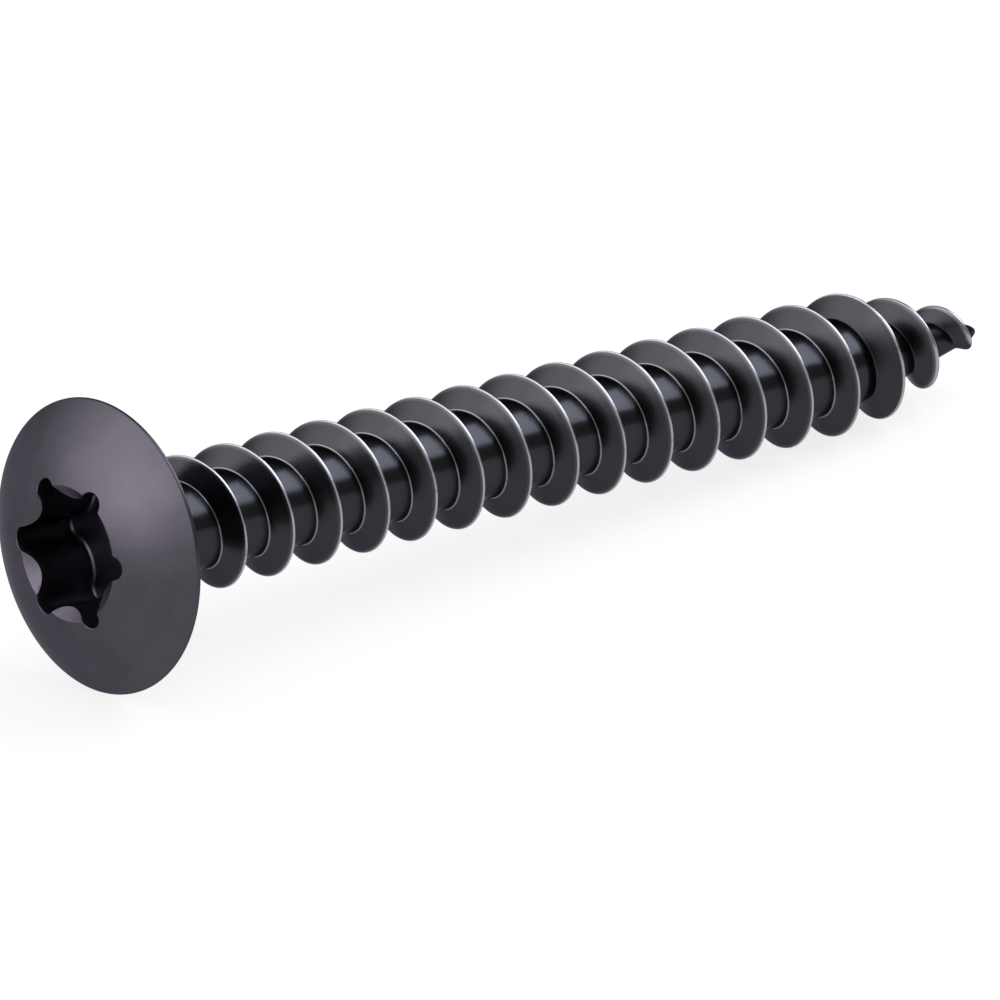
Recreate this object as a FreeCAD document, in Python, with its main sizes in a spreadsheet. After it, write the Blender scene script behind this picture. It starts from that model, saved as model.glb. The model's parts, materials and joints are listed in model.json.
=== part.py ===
import FreeCAD, Part
import math
import os
import Sketcher

# A one piece furniture connector screw: domed head with a six lobe recess, coarse thread, drawn out point.
# In the body's own frame the axis is Z, zero is the plane of the head's rim, and Z grows towards the point.

# Driving dimensions, in millimetres and degrees.
dimensions = {
    "head_diameter": 10.67,
    "dome_rise": 1.82,
    "rim_width": 0.12,
    "collar_diameter": 8.8,
    "collar_length": 2.72,
    "shank_length": 41.82,
    "core_diameter": 3.37,
    "point_length": 6.75,
    "nose_diameter": 0.3,
    "nose_length": 0.3,
    "thread_diameter": 5.0,
    "thread_pitch": 2.253,
    "thread_start": 3.3,
    "flank_angle": 31.0,
    "taper_length": 5.85,
    "taper_turns": 2,
    "taper_clearance": 0.02,
    "taper_step": 0.02,
    "taper_overlap": 0.02,
    "root_overlap": 0.06,
    "recess_diameter": 5.6,
    "recess_waist": 3.99,
    "recess_depth": 2.55,
    "recess_turn": 38.0,
    "lobe_radius": 0.45,
    "lobe_count": 6,
    "bevel_diameter": 4.94,
    "bevel_angle": 120.0,
    "resting_roll": 227.3,
}

# What follows from them.
derived = {
    "tip_station": "=rim_width + shank_length",
    "taper_station": "=tip_station - taper_length",
    "core_slope": "=(core_diameter - nose_diameter) / 2 / (point_length - nose_length)",
    "core_at_taper": "=nose_diameter / 2 + core_slope * (min(taper_length; point_length) - nose_length)",
    "section_depth": "=thread_diameter / 2 - core_at_taper + root_overlap",
    "flank_width": "=section_depth * tan(flank_angle)",
    "taper_end_diameter": "=2 * (section_depth + taper_clearance)",
    "taper_travel": "=taper_turns * thread_pitch",
    "taper_end_station": "=taper_station + taper_travel",
    "taper_slope": "=(thread_diameter / 2 - taper_step - taper_end_diameter / 2) / taper_travel",
    "dome_radius": "=(head_diameter ^ 2 / 4 + dome_rise ^ 2) / (2 * dome_rise)",
    "dome_centre": "=dome_radius - dome_rise",
    "mouth_height": "=sqrt(dome_radius ^ 2 - recess_diameter ^ 2 / 4) - dome_centre",
    "bevel_height": "=sqrt(dome_radius ^ 2 - bevel_diameter ^ 2 / 4) - dome_centre",
    "bevel_depth": "=bevel_diameter / 2 / tan(bevel_angle / 2)",
    "floor_station": "=recess_depth - mouth_height",
    "lobe_angle": "=180 / lobe_count",
    "down_station": "=taper_station - thread_pitch * resting_roll / 360",
}

document = FreeCAD.newDocument("connector_screw")
sheet = document.addObject("Spreadsheet::Sheet", "sizes")
for row, (name, content) in enumerate({**dimensions, **derived}.items(), start=1):
    sheet.set(f"A{row}", name)
    sheet.set(f"B{row}", str(content))
    sheet.setAlias(f"B{row}", name)
document.recompute()

# Numbers by which a sketch names the ends and centre of its curves, and its own axes and origin.
START, END, CENTRE = 1, 2, 3
ORIGIN, ACROSS, ALONG = -1, -1, -2


def size(name):
    return float(sheet.get(name))


def at(x, y):
    return FreeCAD.Vector(x, y, 0)


def add_sketch(body, plane, name):
    sketch = body.newObject("Sketcher::SketchObject", name)
    support = next(item for item in body.Origin.OriginFeatures if item.Role == plane)
    sketch.AttachmentSupport = [(support, "")]
    sketch.MapMode = "FlatFace"
    return sketch


def fix(sketch, kind, *places):
    return sketch.addConstraint(Sketcher.Constraint(kind, *places))


def bind(sketch, expression, kind, *places):
    """Add a dimension with the value that is drawn, and let the sheet drive it."""
    if kind == "Radius":
        drawn = sketch.Geometry[places[0]].Radius
    else:
        step = sketch.getPoint(*places[2:]) - sketch.getPoint(*places[:2])
        drawn = step.x if kind == "DistanceX" else step.y
    index = fix(sketch, kind, *places, drawn)
    sketch.setExpression(f"Constraints[{index}]", expression)


def add_lines(sketch, corners):
    """Draw a chain of lines through the corners, each joined to the next."""
    lines = []
    for one, other in zip(corners, corners[1:]):
        lines.append(sketch.addGeometry(Part.LineSegment(at(*one), at(*other)), False))
    for line, following in zip(lines, lines[1:]):
        fix(sketch, "Coincident", line, END, following, START)
    return lines


def add_arc(sketch, centre, radius, start, end):
    """Draw an arc, counter-clockwise between two angles in radians."""
    circle = Part.Circle(at(*centre), FreeCAD.Vector(0, 0, 1), radius)
    return sketch.addGeometry(Part.ArcOfCircle(circle, start, end), False)


def add_blank(body):
    """The turned blank: dome, thin rim, flat bearing face, cone under the head, core and point."""
    sketch = add_sketch(body, "XZ_Plane", "blank_profile")
    tip = size("tip_station")
    corners = [
        (size("head_diameter") / 2, 0),
        (size("head_diameter") / 2, size("rim_width")),
        (size("collar_diameter") / 2, size("rim_width")),
        (size("core_diameter") / 2, size("rim_width") + size("collar_length")),
        (size("core_diameter") / 2, tip - size("point_length")),
        (size("nose_diameter") / 2, tip - size("nose_length")),
        (0, tip),
        (0, -size("dome_rise")),
    ]
    rim, seat, collar, core, point, nose, axis = add_lines(sketch, corners)
    rim_angle = math.atan2(-size("dome_centre"), size("head_diameter") / 2)
    dome = add_arc(sketch, (0, size("dome_centre")), size("dome_radius"), -math.pi / 2, rim_angle)

    fix(sketch, "Coincident", axis, END, dome, START)
    fix(sketch, "Coincident", dome, END, rim, START)
    fix(sketch, "PointOnObject", dome, CENTRE, ALONG)
    fix(sketch, "PointOnObject", dome, START, ALONG)
    fix(sketch, "PointOnObject", nose, END, ALONG)
    fix(sketch, "PointOnObject", rim, START, ACROSS)
    fix(sketch, "Vertical", rim)
    fix(sketch, "Horizontal", seat)
    fix(sketch, "Vertical", core)

    bind(sketch, "sizes.head_diameter / 2", "DistanceX", ORIGIN, START, rim, START)
    bind(sketch, "sizes.dome_rise", "DistanceY", dome, START, ORIGIN, START)
    bind(sketch, "sizes.rim_width", "DistanceY", rim, START, rim, END)
    bind(sketch, "sizes.collar_diameter / 2", "DistanceX", ORIGIN, START, seat, END)
    bind(sketch, "sizes.collar_length", "DistanceY", collar, START, collar, END)
    bind(sketch, "sizes.core_diameter / 2", "DistanceX", ORIGIN, START, collar, END)
    bind(sketch, "sizes.shank_length", "DistanceY", seat, START, nose, END)
    bind(sketch, "sizes.point_length", "DistanceY", point, START, nose, END)
    bind(sketch, "sizes.nose_diameter / 2", "DistanceX", ORIGIN, START, nose, START)
    bind(sketch, "sizes.nose_length", "DistanceY", nose, START, nose, END)

    blank = body.newObject("PartDesign::Revolution", "blank")
    blank.Profile = sketch
    blank.ReferenceAxis = (sketch, ["V_Axis"])
    blank.Angle = 360


def add_ridge(body, name, crest, station, height, angle=None):
    """A length of thread ridge, swept back towards the head from its section."""
    sketch = add_sketch(body, "XZ_Plane", f"{name}_section")
    crest_x, middle = size(crest) / 2, size(station)
    foot_x, half_foot = crest_x - size("section_depth"), size("flank_width")
    head_foot = (foot_x, middle - half_foot)
    corners = [head_foot, (crest_x, middle), (foot_x, middle + half_foot), head_foot]
    head_flank, point_flank, root = add_lines(sketch, corners)
    fix(sketch, "Coincident", root, END, head_flank, START)
    fix(sketch, "Vertical", root)
    bind(sketch, f"sizes.{crest} / 2", "DistanceX", ORIGIN, START, point_flank, START)
    bind(sketch, f"sizes.{station}", "DistanceY", ORIGIN, START, point_flank, START)
    bind(sketch, "sizes.section_depth", "DistanceX", head_flank, START, head_flank, END)
    bind(sketch, "sizes.flank_width", "DistanceY", head_flank, START, head_flank, END)
    bind(sketch, "sizes.flank_width", "DistanceY", point_flank, START, point_flank, END)

    ridge = body.newObject("PartDesign::AdditiveHelix", name)
    ridge.Profile = sketch
    ridge.ReferenceAxis = (sketch, ["V_Axis"])
    ridge.Mode = "pitch-height-angle"
    ridge.Reversed = True
    ridge.setExpression("Pitch", "sizes.thread_pitch")
    ridge.setExpression("Height", height)
    if angle:
        ridge.setExpression("Angle", angle)


def add_thread(body):
    """The right-handed thread, full along the shank and shrinking onto the point in its last turns."""
    add_ridge(
        body, "shank_thread", "thread_diameter", "taper_station",
        "sizes.taper_station - sizes.rim_width - sizes.thread_start",
    )
    document.recompute()
    add_ridge(
        body, "point_thread", "taper_end_diameter", "taper_end_station",
        "sizes.taper_travel + sizes.taper_overlap", "atan(sizes.taper_slope)",
    )


def add_bevel(body):
    """The shallow conical bevel round the mouth of the recess."""
    sketch = add_sketch(body, "XZ_Plane", "bevel_section")
    clear = size("dome_rise") + size("mouth_height")
    apex = size("bevel_depth") - size("bevel_height")
    reach = (apex + clear) * math.tan(math.radians(size("bevel_angle") / 2))
    corners = [(0, apex), (0, -clear), (reach, -clear), (0, apex)]
    axis, top, cone = add_lines(sketch, corners)
    fix(sketch, "Coincident", cone, END, axis, START)
    fix(sketch, "Horizontal", top)
    fix(sketch, "PointOnObject", axis, START, ALONG)
    fix(sketch, "PointOnObject", axis, END, ALONG)
    depth = "(sizes.dome_rise + sizes.mouth_height + sizes.bevel_depth - sizes.bevel_height)"
    bind(sketch, "sizes.dome_rise + sizes.mouth_height", "DistanceY", axis, END, ORIGIN, START)
    bind(sketch, depth, "DistanceY", axis, END, axis, START)
    bind(sketch, f"{depth} * tan(sizes.bevel_angle / 2)", "DistanceX", top, START, top, END)
    bevel = body.newObject("PartDesign::Groove", "recess_bevel")
    bevel.Profile = sketch
    bevel.ReferenceAxis = (sketch, ["V_Axis"])
    bevel.Angle = 360


def add_recess(body):
    """One lobe of the driving recess, cut from the floor out through the dome, and its copies."""
    sketch = add_sketch(body, "XY_Plane", "lobe_outline")
    sketch.setExpression("AttachmentOffset.Base.z", "sizes.floor_station")
    sketch.setExpression("AttachmentOffset.Rotation.Angle", "sizes.recess_turn")
    waist, lobe = size("recess_waist") / 2, size("lobe_radius")
    centre = size("recess_diameter") / 2 - lobe
    half = math.radians(size("lobe_angle"))
    # The bulge between two lobes is tangent to both, which fixes its radius.
    bulge = (waist ** 2 + centre ** 2 - 2 * waist * centre * math.cos(half) - lobe ** 2) / (
        2 * (centre * math.cos(half) + lobe - waist)
    )
    bulge_x = (waist + bulge) * math.cos(half)
    bulge_y = (waist + bulge) * math.sin(half)
    slant = math.atan2(bulge_y, bulge_x - centre)
    waist_x, waist_y = waist * math.cos(half), waist * math.sin(half)

    lower, = add_lines(sketch, [(0, 0), (waist_x, -waist_y)])
    upper, = add_lines(sketch, [(waist_x, waist_y), (0, 0)])
    lower_bulge = add_arc(sketch, (bulge_x, -bulge_y), bulge, math.pi - slant, math.pi - half)
    upper_bulge = add_arc(sketch, (bulge_x, bulge_y), bulge, math.pi + half, math.pi + slant)
    end = add_arc(sketch, (centre, 0), lobe, -slant, slant)

    fix(sketch, "Coincident", lower, START, ORIGIN, START)
    fix(sketch, "Coincident", upper, END, ORIGIN, START)
    fix(sketch, "Coincident", lower, END, lower_bulge, END)
    fix(sketch, "Coincident", upper, START, upper_bulge, START)
    fix(sketch, "Tangent", lower_bulge, START, end, START)
    fix(sketch, "Tangent", end, END, upper_bulge, END)
    fix(sketch, "PointOnObject", end, CENTRE, ACROSS)
    fix(sketch, "PointOnObject", lower_bulge, CENTRE, lower)
    fix(sketch, "PointOnObject", upper_bulge, CENTRE, upper)
    bind(sketch, "sizes.lobe_radius", "Radius", end)
    bind(sketch, "sizes.recess_diameter / 2 - sizes.lobe_radius", "DistanceX", ORIGIN, START, end, CENTRE)
    half_waist, half_turn = "sizes.recess_waist / 2", "sizes.lobe_angle"
    bind(sketch, f"{half_waist} * cos({half_turn})", "DistanceX", ORIGIN, START, lower, END)
    bind(sketch, f"{half_waist} * sin({half_turn})", "DistanceY", lower, END, ORIGIN, START)
    bind(sketch, f"{half_waist} * cos({half_turn})", "DistanceX", ORIGIN, START, upper, START)
    bind(sketch, f"{half_waist} * sin({half_turn})", "DistanceY", ORIGIN, START, upper, START)

    lobe_cut = body.newObject("PartDesign::Pocket", "recess_lobe")
    lobe_cut.Profile = sketch
    lobe_cut.Type = "ThroughAll"
    document.recompute()
    lobes = body.newObject("PartDesign::PolarPattern", "recess")
    lobes.Originals = [lobe_cut]
    lobes.Axis = (sketch, ["N_Axis"])
    lobes.Angle = 360
    lobes.setExpression("Occurrences", "sizes.lobe_count")
    body.Tip = lobes


def lay_down(body):
    """Turn the axis along X and tip it until the head's rim and the last full crest lie on the ground."""
    head, thread = size("head_diameter") / 2, size("thread_diameter") / 2
    tilt = math.atan((head - thread) / (size("down_station") - size("rim_width")))
    roll = FreeCAD.Rotation(FreeCAD.Vector(0, 0, 1), size("resting_roll"))
    tip_over = FreeCAD.Rotation(FreeCAD.Vector(0, 1, 0), 90 + math.degrees(tilt))
    front = size("bevel_height") * math.cos(tilt) + size("bevel_diameter") / 2 * math.sin(tilt)
    back = size("tip_station") * math.cos(tilt)
    height = head * math.cos(tilt) + size("rim_width") * math.sin(tilt)
    body.Placement = FreeCAD.Placement(FreeCAD.Vector((front - back) / 2, 0, height), tip_over * roll)
    print(f"resting tilt {math.degrees(tilt):.2f} degrees")


screw = document.addObject("PartDesign::Body", "screw")
screw.Label = "screw"
add_blank(screw)
document.recompute()
blank_volume = screw.Shape.Volume
add_thread(screw)
document.recompute()
threaded_volume = screw.Shape.Volume
add_bevel(screw)
add_recess(screw)
document.recompute()
lay_down(screw)
document.recompute()

for item in document.Objects:
    if "Invalid" in item.State or "Error" in item.State:
        raise RuntimeError(f"{item.Label} did not recompute: {item.State}")
if screw.Shape.isNull() or not screw.Shape.isValid():
    raise RuntimeError("the screw's shape is not valid")
if len(screw.Shape.Solids) != 1:
    raise RuntimeError("the screw is not one solid")
if threaded_volume <= blank_volume:
    raise RuntimeError("the thread added nothing to the blank")
if screw.Shape.Volume >= threaded_volume:
    raise RuntimeError("the recess cut nothing")

os.makedirs("parts", exist_ok=True)
screw.Shape.exportStep("parts/screw.step")
print(f"screw: {screw.Shape.Volume:.1f} cubic mm, {len(screw.Shape.Faces)} faces")
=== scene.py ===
import bmesh
import bpy
import json
import math
from mathutils import Matrix, Vector


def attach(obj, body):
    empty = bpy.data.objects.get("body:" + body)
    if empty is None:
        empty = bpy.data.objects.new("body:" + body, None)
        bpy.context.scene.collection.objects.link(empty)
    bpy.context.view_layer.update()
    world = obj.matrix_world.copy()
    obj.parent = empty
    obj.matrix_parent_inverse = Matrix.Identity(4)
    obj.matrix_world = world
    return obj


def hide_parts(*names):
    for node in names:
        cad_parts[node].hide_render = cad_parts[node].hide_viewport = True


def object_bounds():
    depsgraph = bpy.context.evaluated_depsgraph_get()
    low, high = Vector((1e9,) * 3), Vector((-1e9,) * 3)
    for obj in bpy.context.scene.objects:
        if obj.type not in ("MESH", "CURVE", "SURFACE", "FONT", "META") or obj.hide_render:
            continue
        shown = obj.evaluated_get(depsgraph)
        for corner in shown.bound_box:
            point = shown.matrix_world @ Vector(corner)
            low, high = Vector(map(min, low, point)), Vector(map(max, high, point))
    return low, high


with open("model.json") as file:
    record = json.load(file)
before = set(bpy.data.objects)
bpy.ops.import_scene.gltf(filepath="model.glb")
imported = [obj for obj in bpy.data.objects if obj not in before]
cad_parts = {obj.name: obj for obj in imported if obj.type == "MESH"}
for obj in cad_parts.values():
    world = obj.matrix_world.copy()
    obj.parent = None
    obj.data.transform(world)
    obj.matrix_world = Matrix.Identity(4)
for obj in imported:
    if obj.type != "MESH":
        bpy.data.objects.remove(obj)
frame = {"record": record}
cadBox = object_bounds()
mm = 0.001

# Stations run along the axis from the plane of the head's rim and grow towards the point. Turns are
# counted along the thread from where its taper begins. Lengths are in millimetres, angles in degrees.
screwShape = {
    "rimRadius": 5.335, "domeRise": 1.82, "rimWidth": 0.12,
    "collarRadius": 4.4, "collarFoot": 2.84, "neckEnd": 3.0,
    "tip": 41.94, "coreRadius": 1.685, "pointLength": 6.75, "noseRadius": 0.3, "noseLength": 0.4,
    "crestRadius": 2.5, "pitch": 2.253, "footHalfWidth": 0.49, "crestHalfWidth": 0.03,
    "crestEdge": 0.05, "rootRound": 0.04, "rootStrip": 0.03,
    "taperStation": 36.09, "taperTurns": 2.0, "lastCrestRadius": 1.109,
    "blunting": 0.09, "sharpUntil": 0.2, "bluntFrom": 1.2,
    "firstTurn": -14.5, "runIn": 0.12, "heldOn": 0.08, "runOut": 0.34,
    "roll": 227.3, "smoothAngle": 28.0,
}
threadDepth = screwShape["crestRadius"] - screwShape["coreRadius"]


def smoothStep(low, high, value):
    share = min(1.0, max(0.0, (value - low) / (high - low)))
    return share * share * (3 - 2 * share)


def blendValues(one, other, share):
    return one + (other - one) * share


def deselectAll():
    if bpy.context.object and bpy.context.object.mode != "OBJECT":
        bpy.ops.object.mode_set(mode="OBJECT")
    bpy.ops.object.select_all(action="DESELECT")


# The core and the ridge, by station or turn

def coreAt(station):
    narrow = screwShape["noseRadius"]
    slope = (screwShape["coreRadius"] - narrow) / (screwShape["pointLength"] - screwShape["noseLength"])
    onPoint = narrow + (screwShape["tip"] - screwShape["noseLength"] - station) * slope
    return max(narrow / 2, min(screwShape["coreRadius"], onPoint))


def crestAt(turn):
    share = max(0.0, turn / screwShape["taperTurns"])
    return blendValues(screwShape["crestRadius"], screwShape["lastCrestRadius"], share)


def presenceAt(turn):
    # 1 where the ridge stands, falling to 0 past its two ends
    first, last = screwShape["firstTurn"], screwShape["taperTurns"]
    started = smoothStep(first, first + screwShape["runIn"], turn)
    return started * (1 - smoothStep(last + screwShape["heldOn"], last + screwShape["runOut"], turn))


def turnAt(place):
    # the turn of the ridge nearest to a place, and how far along the axis the place is from its middle
    angle, station = math.atan2(place.y, place.x) / math.tau, place.z / mm
    turn = angle + round((station - screwShape["taperStation"]) / screwShape["pitch"] - angle)
    return turn, station - screwShape["taperStation"] - screwShape["pitch"] * turn


# The threaded shank: one pitch of its section is swept round, and then drawn down to the point.
# Its rows of points go up the flank in shares, over the crest in steps down and aside, and along
# the nose in shares.
shankRows = {
    "turnsBack": 16, "turnsOn": 3, "stepsPerTurn": 96, "samePlace": 0.0005, "rootSteps": 5,
    "upFlank": (0.06, 0.1, 0.35, 0.6, 0.82), "overCrest": ((0.016, 0.036), (0.003, 0.021)),
    "alongNose": (0.35, 0.62, 0.82, 0.94, 1.0), "noseTaper": 0.55,
}


def threadSection():
    # radius and place along the axis, from the core on one side of the ridge to the core on the other
    core, crest, rootRound = screwShape["coreRadius"], screwShape["crestRadius"], screwShape["rootRound"]
    foot, land, edge = screwShape["footHalfWidth"], screwShape["crestHalfWidth"], screwShape["crestEdge"]
    slope, halfPitch = (foot - land) / threadDepth, screwShape["pitch"] / 2
    sweep = math.pi / 2 - math.atan(slope)
    root = foot + rootRound * math.tan(sweep / 2)
    half = [(core, halfPitch), (core, (root + halfPitch) / 2), (core, root + screwShape["rootStrip"])]
    for number in range(shankRows["rootSteps"] + 1):
        angle = sweep * number / shankRows["rootSteps"]
        half.append((core + rootRound * (1 - math.cos(angle)), root - rootRound * math.sin(angle)))
    for share in shankRows["upFlank"]:
        half.append((core + threadDepth * share, foot - threadDepth * share * slope))
    half.append((crest - edge, land + edge * slope))
    half += [(crest - down, aside) for down, aside in shankRows["overCrest"]]
    return [(radius, -along) for radius, along in half] + [(crest, 0)] + list(reversed(half))


def drawChain(name, corners):
    deselectAll()
    bpy.ops.mesh.primitive_plane_add(size=mm)
    chain = bpy.context.object
    chain.name = name
    bpy.ops.object.mode_set(mode="EDIT")
    bpy.ops.mesh.merge(type="CENTER")
    radius, station = corners[0]
    bpy.ops.transform.translate(value=(radius * mm, 0, station * mm))
    for (fromRadius, fromStation), (radius, station) in zip(corners, corners[1:]):
        step = ((radius - fromRadius) * mm, 0, (station - fromStation) * mm)
        bpy.ops.mesh.extrude_vertices_move(TRANSFORM_OT_translate={"value": step})
    bpy.ops.object.mode_set(mode="OBJECT")
    return chain


def drawnDown(place):
    # a place of the plain sweep, moved to where the run-in, the run-out and the point's taper have it
    turn, along = turnAt(place)
    foot, halfPitch = screwShape["footHalfWidth"], screwShape["pitch"] / 2
    middle = screwShape["taperStation"] + screwShape["pitch"] * turn
    wider = (crestAt(turn) - coreAt(middle)) / threadDepth
    blunt = screwShape["blunting"] * smoothStep(screwShape["sharpUntil"], screwShape["bluntFrom"], turn)
    angle = math.atan2(place.y, place.x)
    height = (math.hypot(place.x, place.y) / mm - screwShape["coreRadius"]) / threadDepth
    if abs(along) < foot:
        along = along * wider + math.copysign(blunt * math.sqrt(max(0.0, 1 - height ** 4)), along)
    else:
        share = (abs(along) - foot) / (halfPitch - foot)
        along = math.copysign(blendValues(foot * wider + blunt, halfPitch, share), along)
    core = coreAt(middle + along)
    radius = core + height * presenceAt(turn) * (crestAt(turn) - core)
    return Vector((radius * math.cos(angle), radius * math.sin(angle), middle + along)) * mm


def makeShank():
    shank = drawChain("shank", threadSection())
    sweep = shank.modifiers.new("turns", "SCREW")
    sweep.axis, sweep.angle, sweep.screw_offset = "Z", math.tau, screwShape["pitch"] * mm
    sweep.iterations = shankRows["turnsBack"] + shankRows["turnsOn"]
    sweep.steps = sweep.render_steps = shankRows["stepsPerTurn"]
    bpy.ops.object.modifier_apply(modifier="turns")
    bpy.ops.object.mode_set(mode="EDIT")
    bpy.ops.mesh.select_all(action="SELECT")
    start = screwShape["taperStation"] - shankRows["turnsBack"] * screwShape["pitch"]
    samePlace = shankRows["samePlace"] * mm
    bpy.ops.transform.translate(value=(0, 0, start * mm))
    bpy.ops.mesh.remove_doubles(threshold=samePlace)
    bpy.ops.object.mode_set(mode="OBJECT")
    for point in shank.data.vertices:
        point.co = drawnDown(point.co)

    bpy.ops.object.mode_set(mode="EDIT")
    noseStart = screwShape["tip"] - screwShape["noseLength"]
    for station, side in ((screwShape["neckEnd"], "clear_inner"), (noseStart, "clear_outer")):
        cut = {"plane_co": (0, 0, station * mm), "plane_no": (0, 0, 1), side: True}
        bpy.ops.mesh.select_all(action="SELECT")
        bpy.ops.mesh.bisect(threshold=samePlace, **cut)
    # the cut at the point is still selected, and is drawn out into a small blunt nose
    for share in shankRows["alongNose"]:
        bpy.ops.mesh.extrude_region_move()
        radius = screwShape["noseRadius"] * (1 - share) ** shankRows["noseTaper"]
        station = noseStart + screwShape["noseLength"] * share
        edit = bmesh.from_edit_mesh(shank.data)
        for point in edit.verts:
            if point.select:
                around = Vector((point.co.x, point.co.y, 0)).normalized() * radius
                point.co = Vector((around.x, around.y, station)) * mm
        bmesh.update_edit_mesh(shank.data)
    bpy.ops.mesh.merge(type="CENTER")
    bpy.ops.object.mode_set(mode="OBJECT")
    print("shank:", len(shank.data.polygons), "faces")
    return shank


# The head: rings from the middle of the recess's floor, over the dome and rim, to the neck. They are
# listed in the order in which they are drawn, as shares of a length, angles of a round or radii.
recessShape = {
    "lobeReach": 2.8, "waist": 1.995, "lobeRadius": 0.45, "lobes": 6, "turn": 38.0, "depth": 2.55,
    "bevelRadius": 2.47, "bevelAngle": 120.0, "edgeRound": 0.03, "floorRound": 0.15,
}
headRows = {
    "pointsOnLobe": 16, "pointsOnBulge": 13,
    "floor": (0.3, 0.6, 0.85), "corner": (0, 25, 50, 75, 90), "wall": (0.25, 0.5, 0.75, 1.0),
    "edge": (45, 90), "bevel": (-0.2, -0.03, 0, 0.03, 0.12), "bevelClearance": 0.012,
    "domeStart": 2.92, "domeRings": 18, "domeMargin": 0.12, "nearRim": (0.05, 0.02),
    "rim": ((0.004, 0.008), (0, 0.03), (0, 0.09), (0.008, 0.114), (0.04, 0.12)),
    "underside": (5.0, 4.7, 4.45),
    "collar": (0.01, 0.04, 0.15, 0.3, 0.45, 0.6, 0.75, 0.87, 0.94, 0.98), "neck": (0.3, 0.7),
}
domeRadius = (screwShape["rimRadius"] ** 2 + screwShape["domeRise"] ** 2) / (2 * screwShape["domeRise"])


def domeAt(radius):
    return domeRadius - screwShape["domeRise"] - math.sqrt(domeRadius ** 2 - radius ** 2)


def mouthAt(radius):
    # the dome, and inside the bevel's edge the shallow cone that leads into the recess
    bevelEdge, halfAngle = recessShape["bevelRadius"], math.radians(recessShape["bevelAngle"] / 2)
    if radius >= bevelEdge:
        return domeAt(radius)
    return domeAt(bevelEdge) + (bevelEdge - radius) / math.tan(halfAngle)


def recessOutline():
    # places round the recess's wall and the way that each faces, over the whole turn
    waist, lobe, half = recessShape["waist"], recessShape["lobeRadius"], math.pi / recessShape["lobes"]
    centre = recessShape["lobeReach"] - lobe
    bulge = (waist ** 2 + centre ** 2 - 2 * waist * centre * math.cos(half) - lobe ** 2) / (
        2 * (centre * math.cos(half) + lobe - waist)
    )
    bulgeX, bulgeY = (waist + bulge) * math.cos(half), (waist + bulge) * math.sin(half)
    slant = math.atan2(bulgeY, bulgeX - centre)
    onBulge, onLobe = headRows["pointsOnBulge"], headRows["pointsOnLobe"]
    # centre, radius, first and last angle, points and facing of each arc of one sector
    arcs = (
        (Vector((bulgeX, -bulgeY)), bulge, math.pi - half, math.pi - slant, onBulge, -1),
        (Vector((centre, 0)), lobe, -slant, slant, onLobe, 1),
        (Vector((bulgeX, bulgeY)), bulge, math.pi + slant, math.pi + half, onBulge, -1),
    )
    outline = []
    for copy in range(recessShape["lobes"]):
        turned = Matrix.Rotation(math.radians(recessShape["turn"]) + copy * 2 * half, 2)
        for middle, radius, first, last, count, facing in arcs:
            for number in range(count):
                angle = blendValues(first, last, number / count)
                outwards = Vector((math.cos(angle), math.sin(angle)))
                outline.append((turned @ (middle + outwards * radius), turned @ outwards * facing))
    return outline


def headRings():
    outline, rings = recessOutline(), []
    floor = recessShape["depth"] + domeAt(recessShape["lobeReach"])
    corner, edge = recessShape["floorRound"], recessShape["edgeRound"]
    rim, width, core = screwShape["rimRadius"], screwShape["rimWidth"], screwShape["coreRadius"]
    collar, foot, neck = screwShape["collarRadius"], screwShape["collarFoot"], screwShape["neckEnd"]

    def alongWall(outwards, stationAt):
        # a ring that keeps the recess's outline, moved outwards, with its station from the wall's top
        ring = []
        for place, facing in outline:
            moved = place + facing * outwards
            ring.append(Vector((moved.x, moved.y, stationAt(mouthAt(place.length)))) * mm)
        rings.append(ring)

    def roundAxis(radius, stationAt, clearance=0.0):
        # a round ring, which keeps outside the recess's wall where that reaches further
        ring = []
        for place, facing in outline:
            reach = max(radius, place.length + clearance) if clearance else radius
            flat = place.normalized() * reach
            ring.append(Vector((flat.x, flat.y, stationAt(reach))) * mm)
        rings.append(ring)

    for share in headRows["floor"]:
        rings.append([Vector((*(place * share), floor)) * mm for place, facing in outline])
    for angle in headRows["corner"]:
        rise, run = 1 - math.cos(math.radians(angle)), 1 - math.sin(math.radians(angle))
        alongWall(-corner * run, lambda top: floor - corner * rise)
    for share in headRows["wall"]:
        alongWall(0, lambda top: blendValues(floor - corner, top + edge, share))
    for angle in headRows["edge"]:
        rise, run = math.sin(math.radians(angle)), 1 - math.cos(math.radians(angle))
        alongWall(edge * run, lambda top: top + edge * (1 - rise))
    for number, step in enumerate(headRows["bevel"], 1):
        roundAxis(recessShape["bevelRadius"] + step, mouthAt, edge + headRows["bevelClearance"] * number)
    for number in range(headRows["domeRings"] + 1):
        share = number / headRows["domeRings"]
        roundAxis(blendValues(headRows["domeStart"], rim - headRows["domeMargin"], share), domeAt)
    for inwards in headRows["nearRim"]:
        roundAxis(rim - inwards, domeAt)
    for inwards, station in headRows["rim"]:
        roundAxis(rim - inwards, lambda reach: station)
    for radius in headRows["underside"]:
        roundAxis(radius, lambda reach: width)
    for share in headRows["collar"]:
        roundAxis(blendValues(collar, core, share), lambda reach: blendValues(width, foot, share))
    for share in headRows["neck"]:
        roundAxis(core, lambda reach: blendValues(foot, neck, share))
    return rings


def setRing(piece, ring):
    # moves the selected ring's points, taken in order round the axis, to their new places
    slack = 0.001  # so that the first point doesn't come out as the last
    before = math.atan2(ring[0].y, ring[0].x) - slack
    edit = bmesh.from_edit_mesh(piece.data)
    points = [point for point in edit.verts if point.select]
    points.sort(key=lambda point: (math.atan2(point.co.y, point.co.x) - before) % math.tau)
    for point, place in zip(points, ring):
        point.co = place
    bmesh.update_edit_mesh(piece.data)


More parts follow.
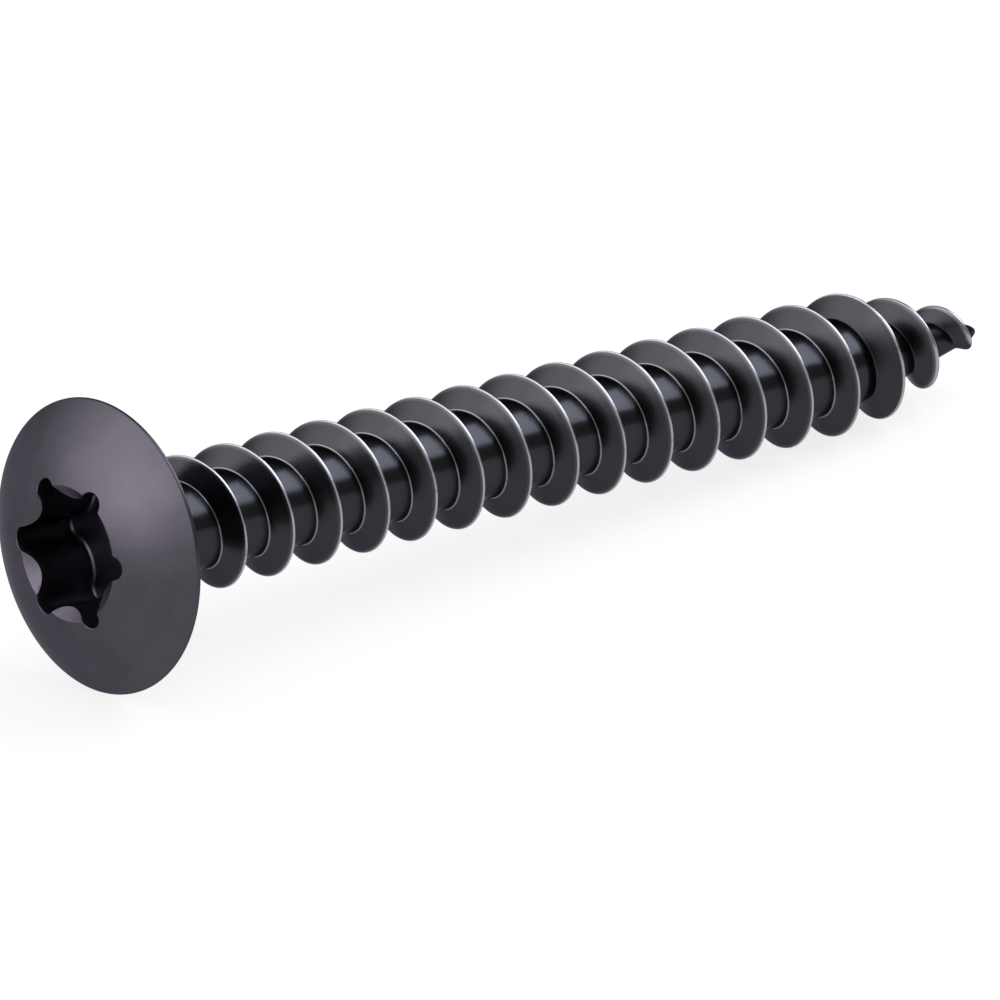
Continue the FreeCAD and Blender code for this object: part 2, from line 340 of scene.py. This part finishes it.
def makeHead():
    rings = headRings()
    deselectAll()
    bpy.ops.mesh.primitive_circle_add(vertices=len(rings[0]), radius=mm, fill_type="TRIFAN")
    head = bpy.context.object
    head.name = "head"
    for point in head.data.vertices:
        point.co.z = rings[0][0].z
    bpy.ops.object.mode_set(mode="EDIT")
    bpy.ops.mesh.select_mode(type="VERT")
    bpy.ops.mesh.select_all(action="DESELECT")
    edit = bmesh.from_edit_mesh(head.data)
    for point in edit.verts:
        point.select = math.hypot(point.co.x, point.co.y) > mm / 2
    edit.select_flush(True)
    bmesh.update_edit_mesh(head.data)
    setRing(head, rings[0])
    for ring in rings[1:]:
        bpy.ops.mesh.extrude_region_move()
        setRing(head, ring)
    bpy.ops.object.mode_set(mode="OBJECT")
    print("head:", len(head.data.polygons), "faces")
    return head


# The whole screw, and where a highlight is painted on the thread: from this far below the crests,
# and this far from the roots
highlightBand = {"crestStart": 0.06, "crestFull": 0.012, "rootFull": 0.02, "rootEnd": 0.05, "rootShare": 0.45}


def makeScrew():
    shank, head = makeShank(), makeHead()
    deselectAll()
    for piece in (head, shank):
        piece.select_set(True)
    bpy.context.view_layer.objects.active = shank
    bpy.ops.object.join()
    screw = bpy.context.object
    screw.name = screw.data.name = "dressed_screw"
    bpy.ops.object.mode_set(mode="EDIT")
    bpy.ops.mesh.select_mode(type="EDGE")
    bpy.ops.mesh.select_all(action="DESELECT")
    # the two open edges at the neck
    bpy.ops.mesh.select_non_manifold(
        use_wire=False, use_multi_face=False, use_non_contiguous=False, use_verts=False
    )
    bpy.ops.mesh.bridge_edge_loops()
    bpy.ops.mesh.select_all(action="SELECT")
    bpy.ops.mesh.normals_make_consistent(inside=False)
    bpy.ops.object.mode_set(mode="OBJECT")
    return screw


def markFinish(screw):
    # how bright a highlight is painted at each place, on the crests and thinly at the roots, and how far
    # it has the gloss of the rolled thread and its darker colour, which is painted shade
    paintedHighlight = screw.data.attributes.new("paintedHighlight", "FLOAT", "POINT")
    threadGlossAndShade = screw.data.attributes.new("threadGlossAndShade", "FLOAT", "POINT")
    for point, highlightShare, glossAndShade in zip(screw.data.vertices, paintedHighlight.data, threadGlossAndShade.data):
        radius, station = math.hypot(point.co.x, point.co.y) / mm, point.co.z / mm
        # the rolled thread's gloss, and its darker colour, which is painted shade
        glossAndShade.value = smoothStep(screwShape["rimWidth"], screwShape["collarFoot"], station)
        if station > screwShape["neckEnd"]:
            turn, along = turnAt(point.co)
            crest, core = crestAt(turn), coreAt(station)
            foot = screwShape["footHalfWidth"] * (crest - core) / threadDepth
            fromRoot = math.hypot(abs(along) - foot, radius - core)
            onCrest = smoothStep(crest - highlightBand["crestStart"], crest - highlightBand["crestFull"], radius)
            atRoot = 1 - smoothStep(highlightBand["rootFull"], highlightBand["rootEnd"], fromRoot)
            # a painted highlight on the crests, and a thinner one at the roots
            highlightShare.value = (onCrest + highlightBand["rootShare"] * atRoot) * presenceAt(turn)


def layDown(screw):
    # the row's seat mount says where the underside of the head is and which way the axis runs
    seat = next(mount for mount in frame["record"]["mounts"] if mount["name"] == "head_seat")
    axis = Vector(seat["axis"]).normalized()
    start = Vector(seat["pos_m"]) - axis * screwShape["rimWidth"] * mm
    tipOver = Matrix.Rotation(math.atan2(axis.x, axis.z), 4, "Y")
    roll = Matrix.Rotation(math.radians(screwShape["roll"]), 4, "Z")
    deselectAll()
    screw.select_set(True)
    bpy.context.view_layer.objects.active = screw
    screw.matrix_world = Matrix.Translation(start) @ tipOver @ roll
    bpy.ops.object.transform_apply(location=True, rotation=True, scale=True)
    bpy.ops.object.shade_smooth_by_angle(angle=math.radians(screwShape["smoothAngle"]))


# Materials

class Wire:
    # a socket of a node, with the arithmetic that a material needs
    def __init__(self, finish, socket):
        self.finish, self.socket = finish, socket

    def maths(self, operation, one, other):
        return self.finish.add("ShaderNodeMath", {"operation": operation}, {0: one, 1: other})

    def __add__(self, other):
        return self.maths("ADD", self, other)

    def __radd__(self, other):
        return self.maths("ADD", other, self)

    def __sub__(self, other):
        return self.maths("SUBTRACT", self, other)

    def __rsub__(self, other):
        return self.maths("SUBTRACT", other, self)

    def __mul__(self, other):
        return self.maths("MULTIPLY", self, other)

    def __rmul__(self, other):
        return self.maths("MULTIPLY", other, self)


class Finish:
    # the nodes of a material or of the world
    def __init__(self, owner):
        owner.use_nodes = True
        self.owner, self.nodes, self.links = owner, owner.node_tree.nodes, owner.node_tree.links

    def add(self, kind, settings=None, sockets=None, output=0):
        node = self.nodes.new(kind)
        for name, value in (settings or {}).items():
            setattr(node, name, value)
        self.feed(node, sockets or {})
        return Wire(self, node.outputs[output])

    def feed(self, node, sockets):
        for name, value in sockets.items():
            if isinstance(value, Wire):
                self.links.new(value.socket, node.inputs[name])
            else:
                node.inputs[name].default_value = value

    def mixColours(self, factor, one, other):
        node = self.nodes.new("ShaderNodeMix")
        node.data_type = "RGBA"
        self.feed(node, {0: factor, 6: one, 7: other})
        return Wire(self, node.outputs[2])

    def spread(self, value, low, high, least=0.0, most=1.0):
        return self.add(
            "ShaderNodeMapRange", {"interpolation_type": "SMOOTHSTEP"},
            {0: value, 1: low, 2: high, 3: least, 4: most}
        )


darkSteel = {
    "deep": (0.092, 0.084, 0.103, 1), "pale": (0.108, 0.099, 0.121, 1), "tintRange": (0.35, 0.65),
    # next: the colour of the painted highlight on the crests and roots, and how noise breaks it up
    "paintedHighlight": (0.55, 0.54, 0.59, 1), "highlightGrain": 0.5, "highlightRange": (0.35, 0.7),
    # next: the thread's colour, darker than the head's as painted shade
    "threadGlossAndShade": (0.054, 0.053, 0.060, 1), "edgeTint": (0.5, 0.49, 0.53, 1),
    "roughness": 0.34, "rolledRoughness": 0.22, "cloudRoughness": 0.08, "grainRoughness": 0.06,
    "clouds": {"Scale": 420.0, "Detail": 4.0, "Roughness": 0.6},
    "grain": {"Scale": 5200.0, "Detail": 3.0, "Roughness": 0.55},
    "bump": {"Strength": 0.1, "Distance": 0.02 * mm},
}


def makeDarkSteel():
    finish, steel = Finish(bpy.data.materials.new("dark_steel")), darkSteel
    place = finish.add("ShaderNodeTexCoord", output="Object")
    clouds = finish.add("ShaderNodeTexNoise", None, {"Vector": place, **steel["clouds"]})
    grain = finish.add("ShaderNodeTexNoise", None, {"Vector": place, **steel["grain"]})
    paintedHighlight = finish.add("ShaderNodeAttribute", {"attribute_name": "paintedHighlight"}, output="Fac")
    threadGlossAndShade = finish.add("ShaderNodeAttribute", {"attribute_name": "threadGlossAndShade"}, output="Fac")
    # the head's colour is cloudy, the thread's is darker as painted shade, and a painted highlight
    # broken up by noise lies on the thread's crests and roots
    brokenHighlight = paintedHighlight * finish.spread(clouds + grain * steel["highlightGrain"], *steel["highlightRange"])
    plain = finish.mixColours(finish.spread(clouds, *steel["tintRange"]), steel["deep"], steel["pale"])
    # the thread's darker colour is painted shade; its lower roughness is the rolled gloss
    withoutHighlight = finish.mixColours(threadGlossAndShade, plain, steel["threadGlossAndShade"])
    # the painted highlight, broken up by noise, goes over the crests and roots
    colour = finish.mixColours(brokenHighlight, withoutHighlight, steel["paintedHighlight"])
    uneven = (clouds - 0.5) * steel["cloudRoughness"] + (grain - 0.5) * steel["grainRoughness"]
    roughness = steel["roughness"] + uneven - threadGlossAndShade * (steel["roughness"] - steel["rolledRoughness"])
    bump = finish.add("ShaderNodeBump", None, {"Height": grain, **steel["bump"]})
    finish.feed(finish.nodes["Principled BSDF"], {
        "Base Color": colour, "Roughness": roughness, "Normal": bump, "Metallic": 1.0,
        "Specular Tint": steel["edgeTint"],
    })
    return finish.owner


# Room, light and camera

white = (1.0, 1.0, 1.0, 1.0)
stageShape = {
    "floorSize": 1.6, "floorColour": (0.97, 0.97, 0.97, 1), "shadowShare": 0.2,
    "floorGlow": 0.66, "roomOnFloor": 1.0, "paleSide": (-0.80, 0.30, 0.52),
    # in reflections the room brightens towards its pale side in two steps, each from one place on
    # the way there to the next (0 beside it, 1 straight at it) and from one level to the next
    "brightening": ((-0.1, 0.6, 0.18, 0.5), (0.5, 1.0, 0.0, 1.4)),
}
lamps = {
    "left": {"place": (-270, 22, 84), "size": 130, "power": 0.04, "colour": (1.0, 0.98, 1.0)},
    "right": {"place": (180, -60, 200), "size": 210, "power": 0.4, "colour": (0.84, 0.92, 1.0)},
}


def makeRoom():
    deselectAll()
    bpy.ops.mesh.primitive_plane_add(size=stageShape["floorSize"])
    floor = bpy.context.object
    floor.name = "floor"
    lightPath = "ShaderNodeLightPath"
    paper = Finish(bpy.data.materials.new("paper"))
    # white to the camera, but for the object's shadow, and less bright in the metal
    seen = paper.add(lightPath, output="Is Camera Ray")
    mirrored = paper.add(lightPath, output="Is Glossy Ray")
    strength = 1 - mirrored * (1 - stageShape["floorGlow"])
    glow = paper.add("ShaderNodeEmission", None, {"Color": white, "Strength": strength})
    plain = paper.add("ShaderNodeBsdfDiffuse", None, {"Color": stageShape["floorColour"]})
    glowing = seen * (1 - stageShape["shadowShare"]) + mirrored
    mixed = paper.add("ShaderNodeMixShader", None, {0: glowing, 1: plain, 2: glow})
    paper.feed(paper.nodes["Material Output"], {"Surface": mixed})
    floor.data.materials.append(paper.owner)

    studio = Finish(bpy.data.worlds.new("studio"))
    bpy.context.scene.world = studio.owner
    # white behind the object; in its reflections a room with one pale and one dark side
    towards = studio.add("ShaderNodeTexCoord")
    side = studio.add(
        "ShaderNodeVectorMath", {"operation": "DOT_PRODUCT"},
        {0: towards, 1: stageShape["paleSide"]}, output="Value"
    )
    room = sum(studio.spread(side, *step) for step in stageShape["brightening"])
    seen = studio.add(lightPath, output="Is Camera Ray")
    diffuse = studio.add(lightPath, output="Is Diffuse Ray")
    mirrored = studio.add(lightPath, output="Is Glossy Ray")
    strength = seen + diffuse * stageShape["roomOnFloor"] + mirrored * room
    studio.feed(studio.nodes["Background"], {"Color": white, "Strength": strength})


def makeLamps(middle):
    for name, lamp in lamps.items():
        light = bpy.data.lights.new(name, "AREA")
        light.size, light.energy, light.color = lamp["size"] * mm, lamp["power"], lamp["colour"]
        holder = bpy.data.objects.new(name, light)
        bpy.context.collection.objects.link(holder)
        holder.location = middle + Vector(lamp["place"]) * mm
        holder.rotation_euler = (middle - holder.location).to_track_quat("-Z", "Y").to_euler()


cameraView = {
    "azimuth": -41.71, "elevation": 23.01, "lens": 1500.0, "sensor": 36.0, "width": 35.36,
    "aim": (-6.465, -6.036, 5.167), "clipStart": 0.1, "clipEnd": 10.0,
}


def makeCamera():
    camera = bpy.data.cameras.new("camera")
    holder = bpy.data.objects.new("camera", camera)
    bpy.context.collection.objects.link(holder)
    camera.lens, camera.sensor_width = cameraView["lens"], cameraView["sensor"]
    camera.clip_start, camera.clip_end = cameraView["clipStart"], cameraView["clipEnd"]
    azimuth, elevation = math.radians(cameraView["azimuth"]), math.radians(cameraView["elevation"])
    level = math.cos(elevation)
    back = Vector((math.sin(azimuth) * level, -math.cos(azimuth) * level, math.sin(elevation)))
    distance = cameraView["width"] * cameraView["lens"] / cameraView["sensor"]
    holder.location = (Vector(cameraView["aim"]) + back * distance) * mm
    holder.rotation_euler = (-back).to_track_quat("-Z", "Y").to_euler()
    bpy.context.scene.camera = holder


screw = makeScrew()
markFinish(screw)
layDown(screw)
screw.data.materials.clear()
screw.data.materials.append(makeDarkSteel())
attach(screw, "root")
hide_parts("screw")
print("screw:", len(screw.data.polygons), "faces")

makeRoom()
middle = (cadBox[0] + cadBox[1]) / 2
makeLamps(middle)
makeCamera()
bpy.context.scene.view_settings.view_transform = "Standard"
print("room, lamps and camera are set")
